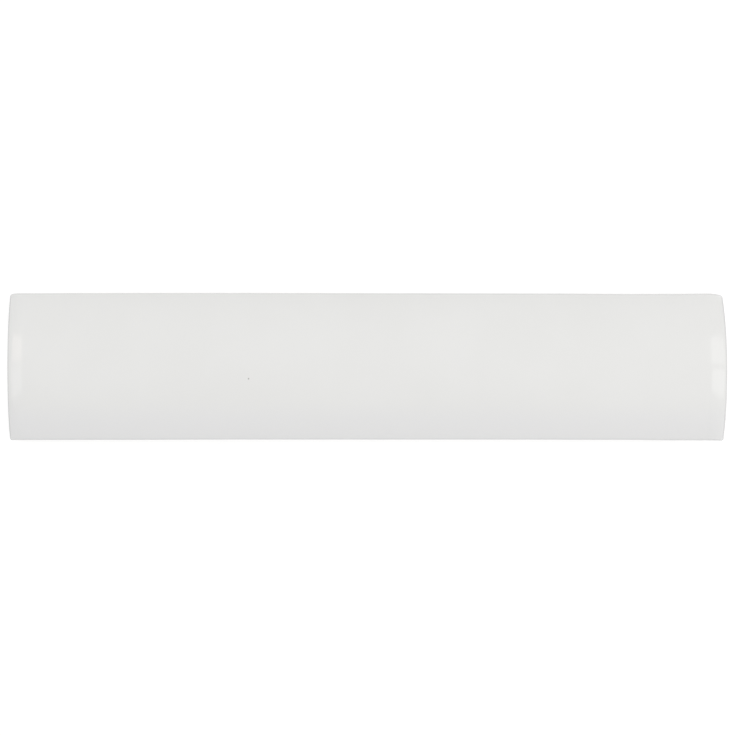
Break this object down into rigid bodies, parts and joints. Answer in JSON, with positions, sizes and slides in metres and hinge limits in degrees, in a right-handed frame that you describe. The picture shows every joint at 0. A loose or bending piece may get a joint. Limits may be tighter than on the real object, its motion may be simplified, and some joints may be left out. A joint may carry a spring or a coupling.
{
  "type": "pencil liner tile",
  "caption": "Narrow white glazed wall trim tile with a low domed face, ends rolled down over the dome, plain sides and a flat back with stopped keying grooves.",
  "frame": {"origin": "middle of the flat back", "axes": "+X along the length, +Y across the width, +Z from the back up to the crown of the dome"},
  "size_m": [0.1524, 0.0316, 0.0127],
  "materials": {
    "glaze": "gloss"
  },
  "bodies": {
    "root": {"pencil_liner": "glaze"}
  },
  "joints": []
}
